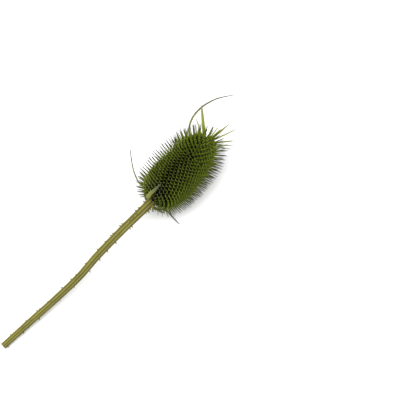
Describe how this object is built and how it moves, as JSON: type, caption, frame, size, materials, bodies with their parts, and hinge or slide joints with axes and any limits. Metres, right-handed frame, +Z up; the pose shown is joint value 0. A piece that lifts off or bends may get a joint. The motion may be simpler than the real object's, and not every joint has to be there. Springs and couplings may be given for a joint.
{
  "type": "teasel seed head",
  "caption": "Dried egg-shaped teasel seed head covered in spine-tipped scales, with long narrow bracts under it, on a cut prickly stem, lying down.",
  "frame": {"origin": "on the floor, under the middle of the whole outline", "axes": "+X from the cut end of the stem towards the tip of the head, +Y to the side with the two longest bracts, +Z up"},
  "size_m": [0.2327, 0.0584, 0.0434],
  "materials": {
    "stem": "dry ribbed plant stem, satin",
    "scales": "stiff green-brown scales, satin",
    "bracts": "stiff narrow leaf, satin"
  },
  "bodies": {
    "root": {"stem": "stem", "seed_head": "scales", "bract_top": "bracts", "bract_left": "bracts", "bract_arching": "bracts", "bract_right": "bracts", "bract_under_right": "bracts", "bract_under_left": "bracts", "bract_reflexed": "bracts", "bract_side": "bracts"}
  },
  "joints": []
}
